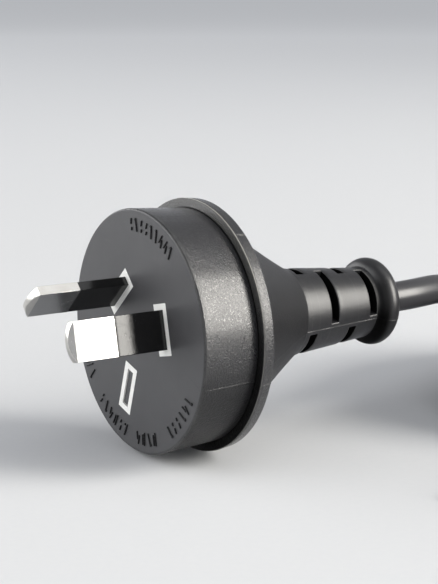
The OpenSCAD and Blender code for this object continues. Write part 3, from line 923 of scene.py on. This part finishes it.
class Nodes:
    """Short calls for building a node tree."""

    def __init__(self, tree):
        self.tree = tree

    def add(self, kind, **settings):
        node = self.tree.nodes.new(kind)
        for key, value in settings.items():
            setattr(node, key, value)
        return node

    def link(self, source, target):
        self.tree.links.new(source, target)

    def feed(self, socket, value):
        if isinstance(value, bpy.types.NodeSocket):
            self.link(value, socket)
        else:
            socket.default_value = value

    def math(self, operation, a, b=0.0, clamp=False):
        node = self.add("ShaderNodeMath", operation=operation, use_clamp=clamp)
        self.feed(node.inputs[0], a)
        self.feed(node.inputs[1], b)
        return node.outputs[0]

    def noise(self, vector, scale, detail=2.0, rough=0.5):
        node = self.add("ShaderNodeTexNoise")
        self.feed(node.inputs["Vector"], vector)
        self.feed(node.inputs["Scale"], scale)
        node.inputs["Detail"].default_value = detail
        node.inputs["Roughness"].default_value = rough
        return node.outputs["Fac"]

    def cells(self, vector, scale, feature="F1"):
        node = self.add("ShaderNodeTexVoronoi", feature=feature)
        self.feed(node.inputs["Vector"], vector)
        self.feed(node.inputs["Scale"], scale)
        return node.outputs["Distance"]

    def remap(self, value, a0, a1, b0, b1):
        node = self.add("ShaderNodeMapRange")
        node.clamp = True
        self.feed(node.inputs["Value"], value)
        self.feed(node.inputs["From Min"], a0)
        self.feed(node.inputs["From Max"], a1)
        self.feed(node.inputs["To Min"], b0)
        self.feed(node.inputs["To Max"], b1)
        return node.outputs["Result"]

    def mix(self, share, a, b):
        node = self.add("ShaderNodeMix", data_type="RGBA")
        self.feed(node.inputs[0], share)
        self.feed(node.inputs[6], a)
        self.feed(node.inputs[7], b)
        return node.outputs[2]

    def attribute(self, name):
        return self.add("ShaderNodeAttribute", attribute_name=name).outputs["Fac"]

    def object_place(self):
        return self.add("ShaderNodeTexCoord").outputs["Object"]

    def bump(self, height, depth):
        node = self.add("ShaderNodeBump")
        node.inputs["Distance"].default_value = depth
        self.feed(node.inputs["Height"], height)
        return node.outputs["Normal"]

    def group(self, tree, **values):
        node = self.add("ShaderNodeGroup")
        node.node_tree = tree
        for key, value in values.items():
            self.feed(node.inputs[key.replace("_", " ")], value)
        return node.outputs

    def tone(self, effects, place, light, dark, patch_size):
        """A colour between two tones that changes over the surface."""
        return self.group(
            effects["tone"], Place=place, Light_Tone=rgb(*light), Dark_Tone=rgb(*dark), Patch_Size=patch_size,
        )["Color"]

    def over(self, tone, mask, share, colour):
        """A tone with a share of another colour laid over it where a mask is 1."""
        return self.mix(self.math("MULTIPLY", mask, share), tone, rgb(*colour))

    def plus(self, value, other, share):
        """A value with a share of another one added."""
        return self.math("ADD", value, self.math("MULTIPLY", other, share))

    def round_place(self, around, radius):
        """A place that goes once round a circle as the share around goes from 0 to 1."""
        turn = self.math("MULTIPLY", around, 2 * math.pi)
        node = self.add("ShaderNodeCombineXYZ")
        self.link(self.math("MULTIPLY", self.math("COSINE", turn), radius), node.inputs[0])
        self.link(self.math("MULTIPLY", self.math("SINE", turn), radius), node.inputs[1])
        return node.outputs[0]


def rgb(r, g, b):
    return (r, g, b, 1.0)


def make_group(name, inputs, outputs):
    tree = bpy.data.node_groups.new(name, "ShaderNodeTree")
    for label, kind, value in inputs:
        socket = tree.interface.new_socket(label, in_out="INPUT", socket_type=kind)
        if value is not None:
            socket.default_value = value
    for label, kind in outputs:
        tree.interface.new_socket(label, in_out="OUTPUT", socket_type=kind)
    nodes = Nodes(tree)
    return tree, nodes, nodes.add("NodeGroupInput").outputs, nodes.add("NodeGroupOutput").inputs


def spark_grain_group():
    """Spark-eroded mould grain: rounded pits and grains of one size, given in metres."""
    tree, n, source, out = make_group(
        "spark_grain",
        [("Place", "NodeSocketVector", None), ("Grain Size", "NodeSocketFloat", 0.0003)],
        [("Height", "NodeSocketFloat"), ("Fleck", "NodeSocketFloat")],
    )
    per_metre = n.math("DIVIDE", 1.0, source["Grain Size"])
    coarse = n.noise(source["Place"], per_metre, 2.0, 0.55)
    cells = n.cells(source["Place"], n.math("MULTIPLY", per_metre, 0.9), "SMOOTH_F1")
    fine = n.noise(source["Place"], n.math("MULTIPLY", per_metre, 3.1), 1.0)
    n.link(n.plus(n.plus(n.math("MULTIPLY", coarse, 0.65), cells, 0.3), fine, 0.18), out["Height"])
    n.link(n.remap(coarse, 0.56, 0.72, 0.0, 1.0), out["Fleck"])
    return tree


def handling_group():
    """Marks of handling: rubbed edges, hairline scratches and settled dust, as masks."""
    tree, n, source, out = make_group(
        "handling",
        [
            ("Place", "NodeSocketVector", None), ("Edge", "NodeSocketFloat", 0.0),
            ("Patch Size", "NodeSocketFloat", 0.006),
        ],
        [("Rub", "NodeSocketFloat"), ("Scratch", "NodeSocketFloat"), ("Dust", "NodeSocketFloat")],
    )
    place = source["Place"]
    per_metre = n.math("DIVIDE", 1.0, source["Patch Size"])
    patch = n.noise(place, per_metre, 3.0, 0.6)
    stretch = n.add("ShaderNodeMapping")
    n.link(place, stretch.inputs["Vector"])
    stretch.inputs["Rotation"].default_value = (0.4, 0.7, 0.2)
    stretch.inputs["Scale"].default_value = (1.0, 0.06, 1.0)
    hair = n.noise(stretch.outputs[0], n.math("MULTIPLY", per_metre, 22.0), 0.0)
    specks = n.cells(place, n.math("MULTIPLY", per_metre, 9.0))
    for label, mark, patch_from, patch_to in (
        ("Rub", source["Edge"], 0.35, 0.7),
        ("Scratch", n.remap(hair, 0.73, 0.78, 0.0, 1.0), 0.5, 0.65),
        ("Dust", n.remap(specks, 0.1, 0.03, 0.0, 1.0), 0.45, 0.62),
    ):
        n.link(n.math("MULTIPLY", mark, n.remap(patch, patch_from, patch_to, 0.0, 1.0)), out[label])
    return tree


def tone_group():
    """A colour with slow and fine changes of tone over the surface."""
    tree, n, source, out = make_group(
        "tone",
        [
            ("Place", "NodeSocketVector", None), ("Light Tone", "NodeSocketColor", None),
            ("Dark Tone", "NodeSocketColor", None), ("Patch Size", "NodeSocketFloat", 0.01),
        ],
        [("Color", "NodeSocketColor")],
    )
    per_metre = n.math("DIVIDE", 1.0, source["Patch Size"])
    slow = n.noise(source["Place"], per_metre, 4.0, 0.65)
    n.link(n.mix(n.remap(slow, 0.3, 0.7, 0.0, 1.0), source["Dark Tone"], source["Light Tone"]), out["Color"])
    return tree


# ---- Finishes; sizes and depths are in metres ---------------------------------------------

def new_material(name, **constants):
    material = bpy.data.materials.new(name)
    material.use_nodes = True
    nodes = Nodes(material.node_tree)
    shader = material.node_tree.nodes["Principled BSDF"]
    for key, value in constants.items():
        shader.inputs[key.replace("_", " ")].default_value = value
    return material, nodes, shader


def compound_material(effects):
    """Black moulded compound: fine on the face, spark-eroded on the side, satin on the strain relief."""
    material, n, shader = new_material("moulded_compound", IOR=1.5, Coat_Roughness=0.22)
    place = n.object_place()
    grain = n.attribute("grain")
    painted_shade = n.attribute("painted_shade")
    marks = n.group(effects["handling"], Place=place, Edge=n.attribute("edge"), Patch_Size=0.005)
    coarse = n.group(effects["grain"], Place=place, Grain_Size=0.0003)
    fine = n.group(effects["grain"], Place=place, Grain_Size=0.00015)
    wall_tone = n.tone(effects, place, (0.027, 0.027, 0.029), (0.018, 0.018, 0.02), 0.009)
    # Painted light: the contact face gets a lighter tone than the side wall, though both are one moulding of
    # the same compound
    face_lit_tone = n.tone(effects, place, (0.07, 0.07, 0.073), (0.06, 0.06, 0.063), 0.006)
    tone = n.mix(n.remap(grain, 0.0, 0.04, 1.0, 0.0), wall_tone, face_lit_tone)
    tone = n.over(tone, marks["Rub"], 0.45, (0.1, 0.1, 0.098))
    tone = n.over(tone, marks["Scratch"], 0.25, (0.12, 0.12, 0.12))
    tone = n.over(tone, marks["Dust"], 0.35, (0.35, 0.33, 0.3))
    # Painted highlight: a pale colour on the flange's front edge and top, and on the last slot's lip
    tone = n.mix(n.attribute("painted_highlight"), tone, rgb(0.42, 0.41, 0.37))
    # Painted shade from the vertex attribute: the colour goes near black here, and below the surface turns
    # metallic, loses its coat and grows rougher, so its sheen goes too
    tone = n.mix(painted_shade, tone, rgb(0.003, 0.003, 0.003))
    n.link(tone, shader.inputs["Base Color"])
    n.link(painted_shade, shader.inputs["Metallic"])
    fleck = n.math("ADD", n.math("MULTIPLY", coarse["Fleck"], 0.72), 0.38)
    polish = n.math("MULTIPLY", n.remap(grain, 0.5, 1.0, 0.0, 1.0), fleck)
    n.link(n.math("SUBTRACT", polish, painted_shade, clamp=True), shader.inputs["Coat Weight"])
    rough = n.remap(grain, 0.15, 1.0, 0.33, 0.25)
    rough = n.plus(rough, coarse["Fleck"], n.math("MULTIPLY", grain, -0.08))
    rough = n.plus(rough, painted_shade, 0.5)
    n.link(n.plus(rough, marks["Rub"], -0.06), shader.inputs["Roughness"])
    height = n.math("MULTIPLY", coarse["Height"], n.math("POWER", grain, 1.3))
    n.link(n.bump(n.plus(height, fine["Height"], 0.12), 0.00018), shader.inputs["Normal"])
    return material


def slot_material(effects):
    """The compound inside the strain relief's slots, painted near black and without reflection as painted
    shade, where no light comes out again.
    """
    material, n, shader = new_material("slot_painted_shade", Roughness=1.0, Specular_IOR_Level=0.0)
    tone = n.tone(effects, n.object_place(), (0.006, 0.006, 0.006), (0.003, 0.003, 0.003), 0.002)
    n.link(tone, shader.inputs["Base Color"])
    return material


def finish_with_grain(n, shader, effects, tone, grain_size, rough, rough_fleck, depth):
    """Sets a tone, and a roughness and bump from the mould's grain."""
    n.link(tone, shader.inputs["Base Color"])
    fine = n.group(effects["grain"], Place=n.object_place(), Grain_Size=grain_size)
    n.link(n.remap(fine["Fleck"], 0.0, 1.0, rough, rough_fleck), shader.inputs["Roughness"])
    n.link(n.bump(fine["Height"], depth), shader.inputs["Normal"])


def mark_material(effects):
    material, n, shader = new_material("raised_mark", IOR=1.5, Specular_IOR_Level=0.2)
    tone = n.tone(effects, n.object_place(), (0.017, 0.017, 0.018), (0.011, 0.011, 0.012), 0.003)
    finish_with_grain(n, shader, effects, tone, 0.00013, 0.26, 0.34, 0.000012)
    return material


def carrier_material(effects):
    material, n, shader = new_material("carrier_white", IOR=1.5)
    place = n.object_place()
    tone = n.tone(effects, place, (0.94, 0.935, 0.9), (0.89, 0.885, 0.85), 0.003)
    marks = n.group(effects["handling"], Place=place, Patch_Size=0.003)
    tone = n.over(tone, marks["Dust"], 0.4, (0.3, 0.29, 0.27))
    finish_with_grain(n, shader, effects, tone, 0.0002, 0.42, 0.5, 0.00002)
    return material


def metal_wire_material(name, effects, light, dark, rough):
    material, n, shader = new_material(name, Metallic=1.0)
    tone = n.tone(effects, n.object_place(), light, dark, 0.001)
    finish_with_grain(n, shader, effects, tone, 0.00015, rough, rough + 0.15, 0.00001)
    return material


def nickel_material(effects):
    """Nickel-plated brass, drawn along the blade, with fine insertion scratches."""
    material, n, shader = new_material("nickel_plate", Metallic=1.0)
    place = n.object_place()
    drawn = n.add("ShaderNodeMapping")
    n.link(place, drawn.inputs["Vector"])
    drawn.inputs["Scale"].default_value = (0.03, 1.0, 1.0)
    streak = n.noise(drawn.outputs[0], 9000.0, 3.0, 0.6)
    marks = n.group(effects["handling"], Place=place, Patch_Size=0.004)
    tone = n.tone(effects, place, (0.73, 0.72, 0.69), (0.64, 0.62, 0.58), 0.004)
    # Painted shade: the broad faces get a darker colour, which dims the reflections they show
    tone = n.over(tone, n.attribute("broad"), 0.85, (0.4, 0.4, 0.4))
    tone = n.over(tone, marks["Scratch"], 0.5, (0.55, 0.51, 0.44))
    n.link(tone, shader.inputs["Base Color"])
    rough = n.remap(streak, 0.3, 0.7, 0.14, 0.24)
    n.link(n.plus(rough, marks["Scratch"], 0.12), shader.inputs["Roughness"])
    n.link(n.bump(streak, 0.000006), shader.inputs["Normal"])
    return material


def gloss_material(name, effects, light, dark, rough, die_lines=0.0):
    """Smooth extruded or moulded plastic, with the fine die lines of an extrusion where it has them."""
    material, n, shader = new_material(name, IOR=1.5)
    place = n.object_place()
    marks = n.group(effects["handling"], Place=place, Patch_Size=0.006)
    tone = n.tone(effects, place, light, dark, 0.008)
    tone = n.over(tone, marks["Scratch"], 0.2, (0.2, 0.2, 0.2))
    tone = n.over(tone, marks["Dust"], 0.12, (0.4, 0.38, 0.35))
    n.link(tone, shader.inputs["Base Color"])
    fine = n.group(effects["grain"], Place=place, Grain_Size=0.0004)
    height = fine["Height"]
    if die_lines:
        die = n.noise(n.round_place(n.attribute("around"), 4.0), 1.0, 2.0, 0.6)
        height = n.plus(height, die, die_lines)
    satin = n.remap(fine["Fleck"], 0.0, 1.0, rough, rough + 0.05)
    n.link(n.plus(satin, marks["Dust"], 0.05), shader.inputs["Roughness"])
    n.link(n.bump(height, 0.000006), shader.inputs["Normal"])
    return material


def strap_material(effects):
    """Woven strap with a loop pile."""
    material, n, shader = new_material("strap_weave", Roughness=0.85, Sheen_Weight=0.35)
    place = n.object_place()
    tone = n.tone(effects, place, (0.03, 0.03, 0.033), (0.016, 0.016, 0.018), 0.0012)
    loops = n.cells(place, 2600.0)
    tone = n.mix(n.remap(loops, 0.15, 0.5, 0.35, 0.0), tone, rgb(0.085, 0.085, 0.09))
    n.link(tone, shader.inputs["Base Color"])
    fibre = n.noise(place, 6500.0, 2.0, 0.6)
    height = n.plus(n.remap(loops, 0.0, 0.6, 1.0, 0.0), fibre, 0.5)
    n.link(n.bump(height, 0.00016), shader.inputs["Normal"])
    return material


def set_material(piece, material):
    if piece.data.materials:
        for slot in piece.material_slots:
            slot.material = material
    else:
        piece.data.materials.append(material)


# ---- Stage --------------------------------------------------------------------------------

FLOOR_HALF = 6
FLOOR_GAP = 0.00002
# Pale glow of the floor far away: from and to a distance in metres, and its strength there
GLOW_FROM = 0.2
GLOW_TO = 1.6
GLOW = 0.27


def add_floor():
    bm = bmesh.new()
    bmesh.ops.create_grid(bm, x_segments=4, y_segments=4, size=FLOOR_HALF)
    bmesh.ops.translate(bm, verts=bm.verts, vec=(0, 0, FLOOR_Z * MM - FLOOR_GAP))
    mesh = bpy.data.meshes.new("floor")
    bm.to_mesh(mesh)
    bm.free()
    floor = bpy.data.objects.new("floor", mesh)
    bpy.context.collection.objects.link(floor)
    material, n, shader = new_material(
        "floor_pale", Roughness=0.9, Specular_IOR_Level=0.0, Emission_Color=rgb(0.95, 0.97, 1.0),
    )
    place = n.object_place()
    fleck = n.noise(place, 900.0, 3.0)
    n.link(n.mix(fleck, rgb(0.63, 0.642, 0.66), rgb(0.655, 0.664, 0.678)), shader.inputs["Base Color"])
    away = n.add("ShaderNodeVectorMath", operation="LENGTH")
    n.link(place, away.inputs[0])
    path = n.add("ShaderNodeLightPath")
    seen = n.math("MAXIMUM", path.outputs["Is Camera Ray"], path.outputs["Is Glossy Ray"])
    seen = n.math("MAXIMUM", seen, path.outputs["Is Transmission Ray"])
    far = n.remap(away.outputs["Value"], GLOW_FROM, GLOW_TO, 0.0, GLOW)
    n.link(n.math("MULTIPLY", seen, far), shader.inputs["Emission Strength"])
    floor.data.materials.append(material)


# Degrees to which a softbox spreads its light, as with a grid in front of its cloth
SOFTBOX_SPREAD = 110
WHITE = (1, 1, 1)
WARM_WHITE = (1.0, 0.97, 0.91)
# Name, direction from the plug, distance, width, height, radiance, colour, height round the plug's axis
SOFTBOXES = [
    ("key_softbox", (0.629, -0.666, 0.4), 1.5, 0.65, 1.15, 18.6, WARM_WHITE, True),
    ("top_softbox", (0.3, -0.2, 0.93), 1.6, 1.2, 1.2, 1.0, WHITE, False),
    ("front_softbox", (-0.85, 0.12, 0.5), 1.6, 1.6, 1.2, 2.0, WHITE, False),
    ("left_softbox", (-0.56, 0.79, 0.26), 1.6, 2.0, 0.85, 3.4, WHITE, False),
]
LIT_PLACE = (0.015, 0, 0)


def add_softbox(name, direction, distance, width, height, radiance, colour, round_plug):
    """A lamp that faces the plug from a direction; its height runs upwards, or round the plug's axis."""
    lamp = bpy.data.lights.new(name, "AREA")
    lamp.shape = "RECTANGLE"
    lamp.size = width
    lamp.size_y = height
    half_spread = math.radians(SOFTBOX_SPREAD / 2)
    lamp.spread = 2 * half_spread
    straight_gain = math.tan(half_spread) / (math.tan(half_spread) - half_spread)
    lamp.energy = radiance * math.pi * width * height / straight_gain
    lamp.color = colour
    holder = bpy.data.objects.new(name, lamp)
    direction = Vector(direction).normalized()
    turn = direction.to_track_quat("Z", "Y")
    if round_plug:
        high = direction.cross(Vector((1, 0, 0))).normalized()
        turn = Matrix((high.cross(direction), high, direction)).transposed().to_quaternion()
    holder.location = Vector(LIT_PLACE) + direction * distance
    holder.rotation_euler = turn.to_euler()
    holder.visible_camera = False
    bpy.context.collection.objects.link(holder)


# Strength of the studio's pale walls at the horizon and high up
WALLS_LOW = 0.6
WALLS_HIGH = 0.28


def add_lights():
    world = bpy.data.worlds.new("studio")
    bpy.context.scene.world = world
    world.use_nodes = True
    back = world.node_tree.nodes["Background"]
    back.inputs["Color"].default_value = rgb(0.93, 0.95, 1.0)
    n = Nodes(world.node_tree)
    upward = n.add("ShaderNodeSeparateXYZ")
    n.link(n.add("ShaderNodeTexCoord").outputs["Generated"], upward.inputs[0])
    n.link(n.remap(upward.outputs["Z"], 0.0, 0.7, WALLS_LOW, WALLS_HIGH), back.inputs["Strength"])
    for softbox in SOFTBOXES:
        add_softbox(*softbox)
    bpy.context.scene.view_settings.view_transform = "Standard"


# ---- The part -----------------------------------------------------------------------------

def build():
    add_camera()
    cord, leads, tie = add_cord()
    body = add_body()
    marks = add_marks()
    nick = add_nick()
    effects = {"grain": spark_grain_group(), "handling": handling_group(), "tone": tone_group()}
    compound = compound_material(effects)
    set_material(body, compound)
    # The second material paints shade into the slots' depths
    body.data.materials.append(slot_material(effects))
    set_material(nick, compound)
    set_material(marks, mark_material(effects))
    nickel = nickel_material(effects)
    sleeve_black = gloss_material("sleeve_black", effects, (0.012, 0.012, 0.012), (0.008, 0.008, 0.008), 0.14)
    for name, side in (("active", ACTIVE), ("neutral", NEUTRAL)):
        blade = add_blade(name + "_blade", side)
        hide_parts(name + "_pin")
        set_material(blade, nickel)
        sleeve = add_sleeve(name + "_sleeve", side)
        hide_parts(name + "_pin_sleeve")
        set_material(sleeve, sleeve_black)
    sheath = gloss_material(
        "cord_sheath_black", effects, (0.052, 0.052, 0.056), (0.042, 0.042, 0.046), 0.3, die_lines=2.0,
    )
    brown = gloss_material("insulation_brown", effects, (0.17, 0.062, 0.026), (0.13, 0.045, 0.018), 0.32)
    blue = gloss_material("insulation_blue", effects, (0.03, 0.13, 0.4), (0.022, 0.1, 0.33), 0.32)
    copper = metal_wire_material("copper_strand", effects, (0.72, 0.38, 0.22), (0.5, 0.24, 0.13), 0.3)
    tinned = metal_wire_material("tinned_strand", effects, (0.7, 0.71, 0.72), (0.5, 0.51, 0.52), 0.28)
    set_material(cord, sheath)
    for piece, finish in zip(leads, (brown, tinned, blue, tinned)):
        set_material(piece, finish)
    set_material(tie, strap_material(effects))
    for node, finish in (
        ("pin_carrier", carrier_material(effects)), ("cord_sheath", sheath), ("active_core", brown),
        ("neutral_core", blue), ("active_conductor", copper), ("neutral_conductor", copper),
    ):
        set_material(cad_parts[node], finish)
    add_floor()
    add_lights()


build()
